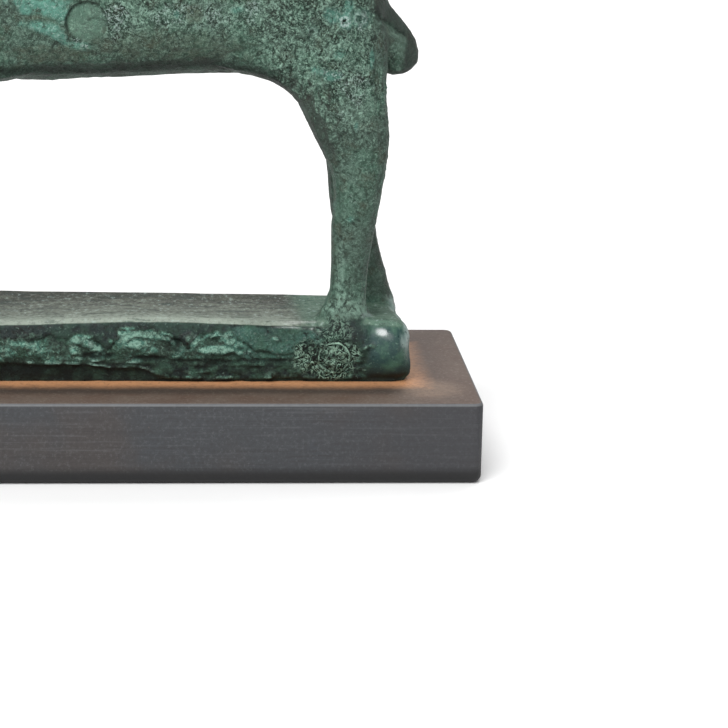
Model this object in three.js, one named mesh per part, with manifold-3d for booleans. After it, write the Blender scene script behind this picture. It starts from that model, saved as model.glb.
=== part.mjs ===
// A bronze stag cast in one with the slab it stands on, set on a rectangular steel plinth.
// Millimetres, +Z up. The origin is the middle of the plinth's underside; the stag faces -X.
// The bronze is drawn with its heights measured from the plinth's top, and then lifted onto it.
import * as THREE from "three";
import { mergeVertices } from "three/addons/utils/BufferGeometryUtils.js";
import Module from "manifold-3d";

const wasm = await Module();
wasm.setup();

// Plinth: a thick flat bar with eased edges.
const PLINTH = { length: 137.2, depth: 60, height: 16.2, corner: 1.8, foot: 1.7, arris: 0.7 };

// Cast slab under the hoofs. The foot of its sides is undercut, and its top is lightly dished.
const SLAB = { length: 111.4, width: 29.2, height: 11.4, edge: 1.9, undercut: 0.7, ledge: 4.4, dish: 0.45 };

// Its rear end is rolled over more than the other edges, splays out low down above a tucked foot,
// and runs back on the far side.
const SLAB_END = { edge: 3.4, reach: 9, splay: 0.8, foot: 1.6, slant: 1.5 };

// Trunk: heights of belly and back, and half of the fullest width.
const BELLY = 58.7;
const BACK = 86.7;
const HALF_TRUNK = 12.4;

// Legs: the distance of their centre lines from the middle, and the places of the feet.
const LEG_SPREAD = 9.5;
const HIND_FOOT = 43.3;
const FORE_FOOT = -43;
const FAR_HIND_SET_BACK = 6;
const FAR_FORE_STEP = -2.5;
const IN_SLAB = SLAB.height - 2;

// Head: the middle of the brow, from which muzzle, eyes, ears and antlers are placed.
const BROW = { x: -46, z: 114.6 };

// A round patch let into the near flank, sunk a little below the skin.
const PATCH = { x: -8, z: 70.6, radius: 4, depth: 0.45 };

const BRONZE = new THREE.MeshStandardMaterial({ color: 0x56695c, roughness: 0.6, metalness: 0.35 });
const STEEL = new THREE.MeshStandardMaterial({ color: 0x6a625c, roughness: 0.6, metalness: 0.4 });

// Joins a list of rings, each with the same number of points, and closes both ends on a point.
function closeRings(rings, first, last) {
  const sides = rings[0].length;
  const points = [first, ...rings.flat(), last];
  const end = points.length - 1;
  const index = [];
  for (let j = 0; j < sides; j++) {
    const k = (j + 1) % sides;
    index.push(0, 1 + k, 1 + j);
    for (let i = 0; i + 1 < rings.length; i++) {
      const a = 1 + i * sides;
      const b = a + sides;
      index.push(a + j, a + k, b + k, a + j, b + k, b + j);
    }
    index.push(end, end - sides + j, end - sides + k);
  }
  return new THREE.BufferGeometry().setFromPoints(points).setIndex(index);
}

// A closed limb through stations [x, y, z, deep, wide]: wide is its half width along `across`,
// and deep its half depth square to that. `caps` rounds the two ends by these lengths.
// `power` is 2 for an oval section, more for a squarer one and less for a keel.
function limb(stations, { sides = 16, steps = 18, caps = [0, 0], power = 2, across = [0, 1, 0] } = {}) {
  const spine = new THREE.CatmullRomCurve3(stations.map(([x, y, z]) => new THREE.Vector3(x, y, z)));
  const girth = new THREE.CatmullRomCurve3(stations.map(([, , , deep, wide]) => new THREE.Vector3(deep, wide, 0)));
  const side = new THREE.Vector3(...across).normalize();
  const rounded = (v) => Math.sign(v) * Math.abs(v) ** (2 / power);
  const ring = (t, along, shrink) => {
    const run = spine.getTangent(t);
    const up = new THREE.Vector3().crossVectors(run, side).normalize();
    const flat = new THREE.Vector3().crossVectors(up, run);
    const centre = spine.getPoint(t).addScaledVector(run, along);
    const { x: deep, y: wide } = girth.getPoint(t);
    return Array.from({ length: sides }, (_, j) => {
      const angle = (2 * Math.PI * j) / sides;
      return centre
        .clone()
        .addScaledVector(up, shrink * deep * rounded(Math.cos(angle)))
        .addScaledVector(flat, shrink * wide * rounded(Math.sin(angle)));
    });
  };
  const tip = (t, along) => spine.getPoint(t).addScaledVector(spine.getTangent(t), along);
  const capAngles = [Math.PI / 3, Math.PI / 6];
  const startCap = caps[0] ? capAngles.map((a) => ring(0, -caps[0] * Math.sin(a), Math.cos(a))) : [];
  const endCap = caps[1] ? capAngles.map((a) => ring(1, caps[1] * Math.sin(a), Math.cos(a))).reverse() : [];
  const body = Array.from({ length: steps + 1 }, (_, i) => ring(i / steps, 0, 1));
  return closeRings([...startCap, ...body, ...endCap], tip(0, -caps[0]), tip(1, caps[1]));
}

// The solid of a closed geometry, its faces turned outwards.
function solid(geometry) {
  const bare = geometry.clone().deleteAttribute("normal").deleteAttribute("uv");
  const merged = mergeVertices(bare, 1e-4);
  const make = (triVerts) =>
    new wasm.Manifold(
      new wasm.Mesh({ numProp: 3, vertProperties: new Float32Array(merged.attributes.position.array), triVerts }),
    );
  const triangles = new Uint32Array(merged.index.array);
  const made = make(triangles);
  return made.volume() > 0 ? made : make(triangles.reverse());
}

function meshOf(manifold, name, material) {
  const { numProp, vertProperties, triVerts } = manifold.getMesh();
  const points = [];
  for (let i = 0; i < vertProperties.length; i += numProp) {
    points.push(new THREE.Vector3(...vertProperties.subarray(i, i + 3)));
  }
  const geometry = new THREE.BufferGeometry().setFromPoints(points).setIndex([...triVerts]);
  geometry.computeVertexNormals();
  const mesh = new THREE.Mesh(geometry, material);
  mesh.name = name;
  return mesh;
}

// The plinth's outline, drawn in by `inset` at its eased edges.
function plinthRing(z, inset) {
  const x = PLINTH.length / 2 - inset;
  const y = PLINTH.depth / 2 - inset;
  const r = PLINTH.corner;
  const outline = new THREE.Shape()
    .moveTo(-x + r, -y)
    .lineTo(x - r, -y)
    .absarc(x - r, -y + r, r, -Math.PI / 2, 0)
    .lineTo(x, y - r)
    .absarc(x - r, y - r, r, 0, Math.PI / 2)
    .lineTo(-x + r, y)
    .absarc(-x + r, y - r, r, Math.PI / 2, Math.PI)
    .lineTo(-x, -y + r)
    .absarc(-x + r, -y + r, r, Math.PI, 1.5 * Math.PI);
  const points = outline.getPoints(4);
  const distinct = points.filter((p, i) => p.distanceTo(points[(i + 1) % points.length]) > 1e-6);
  return distinct.map((p) => new THREE.Vector3(p.x, p.y, z));
}

function plinth() {
  const { height, foot, arris } = PLINTH;
  const eased = [0, 30, 60, 90].map((degrees) => THREE.MathUtils.degToRad(degrees));
  const rings = [
    ...eased.map((a) => plinthRing(foot * (1 - Math.cos(a)), foot * (1 - Math.sin(a)))),
    ...eased.map((a) => plinthRing(height - arris * (1 - Math.sin(a)), arris * (1 - Math.cos(a)))),
  ];
  return closeRings(rings, new THREE.Vector3(0, 0, 0), new THREE.Vector3(0, 0, height));
}

// Rise of the slab's top: its near rim stands up and swells, its far rim falls away to the tail.
function slabSwell(x, y) {
  const front = 1.2 + 0.4 * Math.cos((2 * Math.PI * (x - 4)) / 64);
  const back = 0.5 - 0.01 * (x - 5);
  const share = THREE.MathUtils.smoothstep(y, -SLAB.width / 2, SLAB.width / 2);
  const middle = 1 - ((2 * y) / SLAB.width) ** 2;
  return THREE.MathUtils.lerp(front, back, share) - SLAB.dish * middle;
}

// A segmented box whose points crowd towards its edges, rounded off and then pulled into shape.
function slab() {
  const { length, width, height, undercut, ledge } = SLAB;
  const box = new THREE.BoxGeometry(2, 2, 2, 20, 6, 6);
  const place = box.getAttribute("position");
  const half = new THREE.Vector3(length / 2, width / 2, height / 2);
  const crowd = (u) => Math.sin((u * Math.PI) / 2);
  for (let i = 0; i < place.count; i++) {
    const p = new THREE.Vector3(place.getX(i), place.getY(i), place.getZ(i));
    p.set(crowd(p.x), crowd(p.y), crowd(p.z)).multiply(half);
    const toEnd = THREE.MathUtils.smoothstep(p.x, half.x - SLAB_END.reach, half.x);
    const toFar = THREE.MathUtils.smoothstep(p.y, -half.y, half.y);
    const edge = THREE.MathUtils.lerp(SLAB.edge, SLAB_END.edge, toEnd);
    const core = p.clone().clamp(half.clone().negate().addScalar(edge), half.clone().addScalar(-edge));
    if (p.z < 0) core.z = p.z;
    const out = p.clone().sub(core);
    if (out.length() > edge) out.setLength(edge);
    p.copy(core).add(out);
    const rise = p.z + half.z;
    const tuck = undercut * (1 - THREE.MathUtils.smoothstep(rise, ledge - 2.2, ledge));
    const inward = new THREE.Vector3(p.x - Math.sign(p.x) * Math.min(Math.abs(p.x), half.x - 6), p.y, 0);
    if (inward.length() > 0) p.addScaledVector(inward.normalize(), -tuck * (rise < ledge ? 1 : 0));
    const splay = SLAB_END.splay * (1 - THREE.MathUtils.smoothstep(rise, 2, 7));
    const tucked = SLAB_END.foot * (1 - THREE.MathUtils.smoothstep(rise, 0, 3));
    const outward = toEnd * (splay - tucked - SLAB_END.slant * toFar);
    place.setXYZ(i, p.x + outward, p.y, rise * (1 + slabSwell(p.x, p.y) / height));
  }
  return box;
}

// One body from the rump along the trunk, up through breast and neck, to the back of the skull.
// `skin` draws the whole surface inwards.
function body(skin = 0) {
  const middle = (BELLY + BACK) / 2;
  const trunk = [
    [46.8, 70.7, 8.4, 0.66],
    [42, 71.7, 12, 0.88],
    [33, middle, 13.6, 0.97],
    [16, middle + 0.2, 13.8, 0.98],
    [-7, middle - 0.3, 14.4, 1],
    [-21, middle + 0.1, 15.2, 1.02],
    [-30.4, 76, 15.6, 0.98],
    [-37.4, 82.2, 13.8, 0.84],
  ].map(([x, z, deep, share]) => [x, 0, z, deep, HALF_TRUNK * share]);
  const neck = [
    [-41.8, 89.8, 10.8, 8],
    [-44.2, 98.4, 8.2, 6.5],
    [-45.2, 106.6, 6.9, 5.7],
    [BROW.x + 0.8, BROW.z - 1.5, 5.6, 4.9],
  ].map(([x, z, deep, wide]) => [x, 0, z, deep, wide]);
  const stations = [...trunk, ...neck].map(([x, y, z, deep, wide]) => [x, y, z, deep - skin, wide - skin]);
  return limb(stations, { sides: 24, steps: 34, caps: [3.4 - skin, 2] });
}

// The fold of skin that fills the corner between the belly and a leg.
function fold(side, profile) {
  const thickness = 5.5;
  const stations = profile.map(([x, y, z]) => [x, side * y, z, thickness, thickness - 0.5]);
  return limb(stations, { sides: 10, steps: 8, caps: [2, 2] });
}
const FLANK_FOLD = [
  [12, 3.8, 67.2],
  [20, 4.6, 65.8],
  [26.2, 5.6, 64.6],
  [30.2, 6.5, 63.3],
  [34.2, 7.2, 61],
  [38.8, 7.8, 56.4],
];
const ARMPIT_FOLD = [
  [-12, 3.8, 66],
  [-20.5, 4.6, 64.2],
  [-26.8, 5.6, 63],
  [-31.6, 6.6, 61.1],
  [-35.8, 7.5, 57.6],
  [-38.8, 8.2, 53],
];

// A wedge of a head, deepest at the cheeks, that ends in a blunt muzzle.
function head() {
  const stations = [
    [4, 0.2, 5, 4.4],
    [0, -0.6, 6.6, 5.8],
    [-5, -2.6, 6.1, 5.3],
    [-10.4, -5.6, 4.7, 3.9],
    [-15.4, -8.2, 3.7, 3.1],
    [-19.2, -10.2, 3.4, 2.9],
  ].map(([x, z, deep, wide]) => [BROW.x + x, 0, BROW.z + z, deep, wide]);
  return limb(stations, { sides: 16, steps: 10, caps: [2, 1.6], power: 2.3 });
}

function eye(side) {
  const almond = new THREE.SphereGeometry(1, 10, 6).scale(1.8, 0.9, 1.15);
  return almond.rotateY(-0.45).translate(BROW.x - 4.4, side * 5.05, BROW.z + 0.3);
}

// The near hind leg stands upright; the far one is set a little further back at the foot.
function hindLeg(side, setBack) {
  const stations = [
    [40, 3.4, 80, 6, 5],
    [40.6, 5.2, 73, 8.8, 6],
    [41, 6.8, 65, 9.6, 6.4],
    [41.2, 7.8, 58.6, 9.3, 6.2],
    [42.5, 8.5, 53.2, 8.1, 5.6],
    [44.05, 8.9, 47.7, 7, 5.1],
    [44.95, 9.2, 41.6, 5.5, 4.6],
    [44.8, 9.4, 35.8, 4.6, 4.2],
    [44.1, LEG_SPREAD, 29.8, 4.35, 3.9],
    [43.6, LEG_SPREAD, 23.8, 3.75, 3.65],
    [43.4, LEG_SPREAD, 18.7, 3.62, 3.6],
    [HIND_FOOT - 0.1, LEG_SPREAD, 15.7, 4, 3.8],
    [HIND_FOOT - 0.4, LEG_SPREAD - 0.1, 13.6, 4.9, 4.3],
    [HIND_FOOT - 0.7, LEG_SPREAD - 0.3, IN_SLAB, 6.6, 5],
  ];
  const sway = (z) => setBack * (1 - THREE.MathUtils.smoothstep(z, SLAB.height, 38));
  const placed = stations.map(([x, y, z, deep, wide]) => [x + sway(z), side * y, z, deep, wide]);
  return limb(placed, { sides: 14, steps: 23, caps: [2, 0] });
}

function foreLeg(side, step) {
  const stations = [
    [-35.5, 3, 83, 6, 5],
    [-37.2, 5, 75, 9, 6],
    [-38.8, 6.8, 64.5, 9, 6.4],
    [-40.3, 8.2, 55, 6.6, 5.4],
    [-41.2, 8.9, 47.2, 5.2, 4.6],
    [-41.8, 9.2, 39.6, 4.5, 4.2],
    [-42.2, LEG_SPREAD, 31, 3.9, 3.85],
    [-42.7, LEG_SPREAD, 22, 3.5, 3.55],
    [-43, LEG_SPREAD, 17.4, 3.62, 3.6],
    [FORE_FOOT, LEG_SPREAD, 15, 4.1, 3.85],
    [FORE_FOOT, LEG_SPREAD - 0.1, 13.2, 5, 4.4],
    [FORE_FOOT, LEG_SPREAD - 0.3, IN_SLAB, 6.6, 5],
  ];
  const stride = (z) => step * (1 - THREE.MathUtils.smoothstep(z, SLAB.height, 50));
  const placed = stations.map(([x, y, z, deep, wide]) => [x + stride(z), side * y, z, deep, wide]);
  return limb(placed, { sides: 14, steps: 20, caps: [2, 0] });
}

// A short flap tail, keeled down its back, hanging from the croup.
function tail() {
  const stations = [
    [40, 80.6, 3.2, 5.6],
    [43.8, 75.9, 4, 6.8],
    [47.3, 71.3, 4.1, 7],
    [50.3, 67.3, 4.4, 6.2],
    [52.4, 64, 4.6, 4.8],
    [53.3, 61.5, 4, 3.5],
  ].map(([x, z, deep, wide]) => [x, 0, z, deep, wide]);
  return limb(stations, { sides: 14, steps: 10, caps: [0, 2.2], power: 1.6 });
}

// A leaf-shaped ear with a hollow in its front.
function ear(side) {
  const root = new THREE.Vector3(BROW.x + 2.6, side * 4.2, BROW.z + 2.6);
  const lean = new THREE.Vector3(0.34, side * 0.66, 0.67).normalize();
  const facing = new THREE.Vector3(-0.86, side * 0.5, 0.1).normalize();
  const across = new THREE.Vector3().crossVectors(lean, facing);
  const leaf = [
    [0, 1.9, 1.9],
    [3, 1.8, 2.7],
    [6.6, 1.5, 3.2],
    [10, 1.2, 2.5],
    [12.6, 0.8, 1.1],
  ];
  const blade = (shrink, forward) => {
    const stations = leaf.map(([along, deep, wide]) => {
      const p = root.clone().addScaledVector(lean, along).addScaledVector(facing, forward);
      return [p.x, p.y, p.z, deep * shrink, wide * shrink];
    });
    return solid(limb(stations, { sides: 8, steps: 7, caps: [0.6, 0.8], across: across.toArray() }));
  };
  return blade(1, 0).subtract(blade(0.66, 1.5));
}

// A beam that rises and turns in, with a brow tine in front and a short tine behind.
function antler(side) {
  const branch = (stations, tip) => {
    const placed = stations.map(([x, y, z, r]) => [BROW.x + x, side * y, BROW.z + z, r, r]);
    return solid(limb(placed, { sides: 8, steps: 6, caps: [0, tip] }));
  };
  const beam = branch(
    [
      [1, 2.4, 3, 2.2],
      [3, 3.2, 9, 1.9],
      [5, 5, 15.5, 1.65],
      [4, 6.2, 21.5, 1.35],
      [0.8, 5.8, 26.5, 0.85],
    ],
    0.8,
  );
  const browTine = branch(
    [
      [2, 2.8, 6, 1.4],
      [-1.4, 3.6, 9, 1.2],
      [-4.2, 4.2, 13, 0.7],
    ],
    0.7,
  );
  const backTine = branch(
    [
      [4.6, 4.8, 14.5, 1.3],
      [8, 5.8, 18.2, 1.05],
      [9.6, 6, 22.2, 0.65],
    ],
    0.7,
  );
  return beam.add(browTine).add(backTine);
}

// The sunk patch: a round plug of the skin, down to the inner surface.
function patchRecess() {
  const { x, z, radius, depth } = PATCH;
  const drill = new THREE.CylinderGeometry(radius, radius, HALF_TRUNK, 24).translate(x, -1.2 * HALF_TRUNK, z);
  return solid(drill).subtract(solid(body(depth)));
}

function stag() {
  const parts = [
    slab(),
    body(),
    head(),
    eye(-1),
    eye(1),
    tail(),
    hindLeg(-1, 0),
    hindLeg(1, FAR_HIND_SET_BACK),
    fold(-1, FLANK_FOLD),
    fold(1, FLANK_FOLD),
    foreLeg(-1, 0),
    foreLeg(1, FAR_FORE_STEP),
    fold(-1, ARMPIT_FOLD),
    fold(1, ARMPIT_FOLD),
  ].map(solid);
  const whole = [...parts, ear(-1), ear(1), antler(-1), antler(1)].reduce((sum, piece) => sum.add(piece));
  return whole.subtract(patchRecess()).translate([0, 0, PLINTH.height]);
}

const deer = new THREE.Group();
deer.add(meshOf(stag(), "deer_figure", BRONZE));
deer.add(meshOf(solid(plinth()), "display_plinth", STEEL));

export default deer;
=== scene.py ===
"""The bronze stag on its steel plinth: corroded casting, patina, rusted bar and a pale studio."""

import math

import bpy
import numpy as np
from bpy.props import FloatProperty, FloatVectorProperty, IntProperty, PointerProperty
from bpy.types import Operator, Panel, PropertyGroup
from mathutils import Matrix, Vector


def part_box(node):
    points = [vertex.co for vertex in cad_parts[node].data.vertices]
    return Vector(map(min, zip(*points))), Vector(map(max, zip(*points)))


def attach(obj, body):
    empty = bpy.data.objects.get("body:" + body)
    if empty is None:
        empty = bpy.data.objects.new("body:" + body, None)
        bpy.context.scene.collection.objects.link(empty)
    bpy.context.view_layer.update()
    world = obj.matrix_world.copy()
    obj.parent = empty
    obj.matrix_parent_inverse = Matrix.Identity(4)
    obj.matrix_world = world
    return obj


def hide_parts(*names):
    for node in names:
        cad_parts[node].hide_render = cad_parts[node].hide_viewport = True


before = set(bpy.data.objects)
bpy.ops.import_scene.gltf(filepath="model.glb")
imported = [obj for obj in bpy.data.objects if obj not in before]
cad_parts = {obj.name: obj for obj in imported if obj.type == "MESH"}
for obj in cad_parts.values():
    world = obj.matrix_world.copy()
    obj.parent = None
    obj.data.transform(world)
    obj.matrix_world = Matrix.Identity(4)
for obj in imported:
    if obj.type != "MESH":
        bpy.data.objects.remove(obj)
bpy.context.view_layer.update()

bl_info = {
    "name": "Cast stag on a plinth",
    "version": (1, 0, 0),
    "blender": (4, 5, 0),
    "location": "View3D > Sidebar > Stag",
    "description": "Relief, patina and studio for a small corroded bronze stag on a steel plinth",
    "category": "Object",
}

MM = 0.001
BRONZE_NODE = "deer_figure"
PLINTH_NODE = "display_plinth"
PLINTH_LOW, PLINTH_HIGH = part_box(PLINTH_NODE)
PLINTH_SIZE = PLINTH_HIGH - PLINTH_LOW
PLINTH_TOP = PLINTH_HIGH.z / MM

# Half the length and width of the bronze's foot, and the pale patch of rust off its corner
FOOTPRINT = Vector((55.0, 13.9)) * MM
RUST_BLOOM = Vector((58.8, -18.8)) * MM

# Where the camera stands, and its yaw, pitch and roll in degrees
CAMERA_PLACE = (-4.62 * MM, -603.22 * MM, 173.56 * MM)
CAMERA_TURN = (4.956, 14.556, 1.334)


# Fields over points in millimetres


def lattice(ix, iy, iz, seed):
    """A repeatable pseudo-random number from 0 to 1 for each whole-numbered lattice point."""
    h = (ix * 73856093) ^ (iy * 19349663) ^ (iz * 83492791) ^ (seed * 2654435761)
    h = (h ^ (h >> 13)) * 1274126177
    h = (h ^ (h >> 16)) & 0xFFFFFF
    return h / float(0xFFFFFF)


def smooth_noise(points, size, seed, octaves=1):
    """Soft noise from -1 to 1 with features about `size` millimetres wide."""
    total = np.zeros(len(points))
    weight = 1.0
    reach = 0.0
    for octave in range(octaves):
        p = points * (2.0**octave / size) + 37.7 * (octave + 1)
        cell = np.floor(p).astype(np.int64)
        f = p - cell
        f = f * f * f * (f * (f * 6 - 15) + 10)
        value = np.zeros(len(points))
        for corner in range(8):
            dx, dy, dz = corner & 1, corner >> 1 & 1, corner >> 2 & 1
            share = (
                (f[:, 0] if dx else 1 - f[:, 0])
                * (f[:, 1] if dy else 1 - f[:, 1])
                * (f[:, 2] if dz else 1 - f[:, 2])
            )
            value += share * lattice(cell[:, 0] + dx, cell[:, 1] + dy, cell[:, 2] + dz, seed + octave)
        total += weight * (2 * value - 1)
        reach += weight
        weight *= 0.5
    return total / reach


def grains(points, size, seed):
    """The distance to the nearest of scattered grains, in grain sizes, and that grain's height."""
    p = points / size
    cell = np.floor(p).astype(np.int64)
    near = np.full(len(points), 9.0)
    height = np.zeros(len(points))
    for shift in np.ndindex(3, 3, 3):
        c = cell + np.array(shift) - 1
        spread = [lattice(c[:, 0], c[:, 1], c[:, 2], seed + k) for k in range(3)]
        gap = np.linalg.norm(c + np.stack(spread, 1) - p, axis=1)
        height = np.where(gap < near, (spread[0] * 7 + spread[1]) % 1.0, height)
        near = np.minimum(near, gap)
    return near, height


def ramp(value, low, high):
    """0 below `low`, 1 above `high`, and a soft step between them. `low` may be the larger."""
    t = np.clip((value - low) / (high - low), 0, 1)
    return t * t * (3 - 2 * t)


def peak(value, width):
    """1 where `value` is 0, with a soft fall over `width` to both sides."""
    return np.exp(-((value / width) ** 2))


def within(x, z, zone):
    """How far out in an ellipse (middle, half sizes): 0 at its middle, 1 at its edge."""
    (at_x, at_z), (long, high) = zone
    return np.hypot((x - at_x) / long, (z - at_z) / high)


def level(x, knots):
    """A height that runs straight between the given (x, height) knots."""
    return np.interp(x, [k[0] for k in knots], [k[1] for k in knots])


def slab_top(x, y):
    """The height of the slab's top: a swelling near rim, a lower far rim and a dish between them."""
    near = 1.2 + 0.4 * np.cos(2 * np.pi * (x - 4) / 64)
    far = 0.5 - 0.01 * (x - 5)
    share = ramp(y, -SLAB_HALF, SLAB_HALF)
    return SLAB_TOP + near + (far - near) * share - 0.45 * (1 - (y / SLAB_HALF) ** 2)


class Skin:
    """Points of the casting, in millimetres, with their normals and the noises that all areas share."""

    def __init__(self, points, normals):
        self.points = points
        self.normals = normals
        self.x, self.y, self.z = points.T
        self.near = ramp(-normals[:, 1], 0.1, 0.55)
        self.rise = self.z - slab_top(self.x, self.y)
        self.figure = ramp(self.rise, 0.4, 2.2)
        self.wobble = smooth_noise(points, 9, 11, 2)
        self.lumps = smooth_noise(points, 3.0, 23, 2)
        self.ragged = smooth_noise(points, 2.2, 31, 3)
        self.fine = smooth_noise(points, 0.95, 47, 2)
        self.torn = 0.8 * self.ragged + 0.35 * self.fine
        drift = np.stack([self.ragged, self.lumps, self.fine], 1)
        self.near_grain, self.grain_height = grains(points + 0.3 * drift, 1.05, 59)
        self.lace = 1 - np.abs(smooth_noise(points + 0.5 * drift, 1.7, 67, 2)) * 5

    def area(self, at, size, turn=0.0, soft=0.35, broken=0.75):
        """1 inside an ellipse on the side view, with a ragged edge. `turn` is in degrees."""
        c, s = math.cos(math.radians(turn)), math.sin(math.radians(turn))
        dx, dz = self.x - at[0], self.z - at[1]
        along, up = c * dx + s * dz, c * dz - s * dx
        reach = np.hypot(along / size[0], up / size[1]) + broken * self.torn
        return ramp(reach, 1 + soft, 1 - soft)

    def areas(self, listed, soft=0.35, broken=0.75):
        """The strongest of several areas, each (x, z, half length, half height, turn, strength)."""
        found = np.zeros(len(self.x))
        for x, z, long, high, turn, strength in listed:
            found = np.maximum(found, strength * self.area((x, z), (long, high), turn, soft, broken))
        return found

    def marks(self, listed):
        """The strongest of several areas on the figure's near side."""
        return self.areas(listed) * self.near * self.figure


# Places on the casting, in millimetres: x along it and z up from the plinth's underside

PLUG = (-8.0, 86.8)
PLUG_RADIUS = 4.0
PLUG_ARC = (-6.2, 85.4)
PLUG_ARC_RADIUS = 2.3
BLISTER = (40.5, 21.3)
BLISTER_RADIUS = 3.1
SLAB_FOOT = PLINTH_TOP
SLAB_TOP = PLINTH_TOP + 11.4
SLAB_HALF = 14.6
NEAR_FACE = (-11.6, -13.4)
BROW = (-46.0, PLINTH_TOP + 114.6)
GLINT = ((50.4, 26.2), (1.7, 0.8), -22, 0.4, 0.2)

# Middle and half sizes: an eye from the brow, and places on the slab's near face from its foot
EYE = ((-4.4, 0.3), (2.4, 1.7))
CRUMBS = ((39.6, 4.9), (6.6, 4.8))
SCALES = ((40.5, 10.4), (4.6, 2.6))
END_LOBE = ((51.2, 6.4), (5.2, 5.6))

# Growths on the near side: x, z, half length, half height, turn in degrees, strength
TEAL = (
    (-16.6, 90.2, 5.2, 2.2, -8, 1.0),
    (-12.6, 88.2, 1.9, 1.7, 0, 0.85),
    (-16.3, 85.8, 3.7, 1.2, -6, 0.9),
    (-13.2, 83.9, 2.0, 1.0, -35, 0.75),
    (-9.3, 82.1, 2.1, 0.9, -10, 0.7),
    (9.1, 88.6, 0.7, 1.0, 0, 0.85),
    (20.9, 89.6, 1.2, 0.7, 0, 0.6),
    (38.9, 88.3, 1.6, 1.5, 0, 0.85),
    (42.2, 90.0, 0.8, 1.9, -20, 0.9),
    (46.8, 80.3, 0.4, 1.6, 0, 0.9),
    (36.3, 78.0, 1.4, 0.6, -15, 0.8),
    (38.8, 77.0, 1.7, 1.1, 0, 0.9),
    (40.4, 81.2, 1.0, 0.7, 20, 0.7),
    (44.0, 67.2, 0.4, 1.2, 0, 0.5),
    (43.1, 48.9, 0.7, 0.6, 0, 0.8),
)
CHALK = (
    (-2.3, 86.9, 2.3, 3.6, 0, 0.8),
    (-9.8, 83.3, 0.8, 0.5, 0, 1.0),
    (-8.4, 82.2, 0.6, 0.4, 0, 0.9),
    (12.0, 88.2, 8.5, 2.3, 0, 0.45),
    (20.9, 89.7, 0.9, 0.6, 0, 1.0),
    (23.6, 89.2, 2.0, 2.0, 0, 0.5),
    (43.5, 74.2, 3.0, 2.6, 0, 0.5),
    (44.5, 86.0, 0.7, 0.6, 0, 0.9),
    (40.2, 77.2, 0.8, 0.9, -20, 0.9),
    (37.6, 77.9, 1.4, 0.5, -15, 0.6),
    (45.2, 88.0, 0.5, 1.1, 0, 0.7),
    (41.7, 69.3, 1.6, 1.0, 0, 0.35),
    (43.3, 53.2, 1.2, 0.8, 0, 0.4),
)
EARTH = (
    (-17.0, 87.6, 2.6, 0.4, -5, 0.4),
    (12.4, 88.9, 1.5, 1.9, 0, 0.7),
    (-14.0, 80.2, 8.0, 1.6, 0, 0.6),
    (-4.7, 85.4, 0.35, 0.8, 0, 1.0),
    (18.0, 82.0, 7.0, 1.2, 0, 0.4),
    (8.0, 82.0, 15.0, 3.2, 0, 0.45),
)
VERDIGRIS = (
    (42.8, 30.0, 5.0, 2.8, 0, 1.0),
    (39.0, 30.3, 0.8, 1.8, -15, 1.0),
    # The next paints the pale vertical highlight streak down the near hind foot.
    (42.2, 31.2, 0.5, 2.8, 0, 1.0),
    (42.0, 46.0, 3.0, 6.0, 0, 0.2),
    (41.4, 36.0, 0.7, 8.0, 0, 0.8),
    (38.5, 84.0, 6.0, 5.0, 0, 0.35),
    (30.0, 80.5, 5.0, 2.4, -20, 0.35),
    (43.0, 56.0, 2.4, 5.0, 0, 0.2),
    (43.5, 71.0, 4.0, 2.4, 0, 0.3),
)

# Ringed pustules: middle, radius, width of the ring, how pale it is
RINGS = (((41.5, 87.4), 0.75, 0.42, 1.0), ((44.5, 87.9), 1.1, 0.3, 0.45), ((35.2, 85.4), 0.75, 0.25, 0.2))

# The middle of the band of painted shade along the belly: its height for each x
BELLY_BAND = ((-60, 75.2), (-20.8, 76.8), (-5.5, 76.8), (6.1, 77.7), (13.8, 78.6), (24, 77.2), (34, 74))

# The crease down the side of the tail: x for each height (negated), and height for each x
TAIL_CREASE = (
    (-89.1, 47.2), (-87.6, 48.8), (-86.0, 50.8), (-84.3, 52.8), (-83.3, 54.2), (-81, 53.8), (-77, 53.5),
)
TAIL_LINE = ((47.2, 89.1), (48.8, 87.6), (50.8, 86.0), (52.8, 84.3), (54.4, 83.3))

# The slab's near face: lower edge of the smooth rim, level of the torn lip, depth of the crevice
RIM_EDGE = (
    (-55, 8.4), (-51, 9.6), (-47, 7.4), (-42, 9.7), (-37, 7.8), (-32, 9.7), (-28, 8.2), (-24, 9.1),
    (-19, 9.0), (-15, 9.7), (-12.2, 8.5), (-10, 10.0), (-7.6, 9.6), (-5, 7.8), (-4, 6.6), (-2.6, 8.4),
    (0, 10.3), (4, 10.9), (8, 9.6), (10, 8.5), (12, 7.3), (14, 9.5), (17, 10.7), (21, 9.7),
    (24, 7.0), (28, 6.3), (33, 6.2), (38, 8.9), (44, 8.6), (47, 5.2), (56, 4.0),
)
LIP_LEVEL = (
    (-56, 3.7), (-46, 4.3), (-36, 3.8), (-25, 4.3), (-8, 4.0), (-3, 3.2), (2, 2.9), (7, 1.6),
    (12, 1.0), (56, 1.2),
)
CREVICE = (
    (-56, 0.5), (-46, 0.9), (-40, 0.2), (-30, 0.8), (-24, 0.1), (-16, 0.3), (-8, 0.3), (-5.5, 1.0),
    (-2, 1.0), (0, 0.4), (6, 0.3), (9.5, 0.9), (14.5, 0.9), (17, 0.2), (26, 0.3), (34, 0.5), (38, 0),
)

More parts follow.
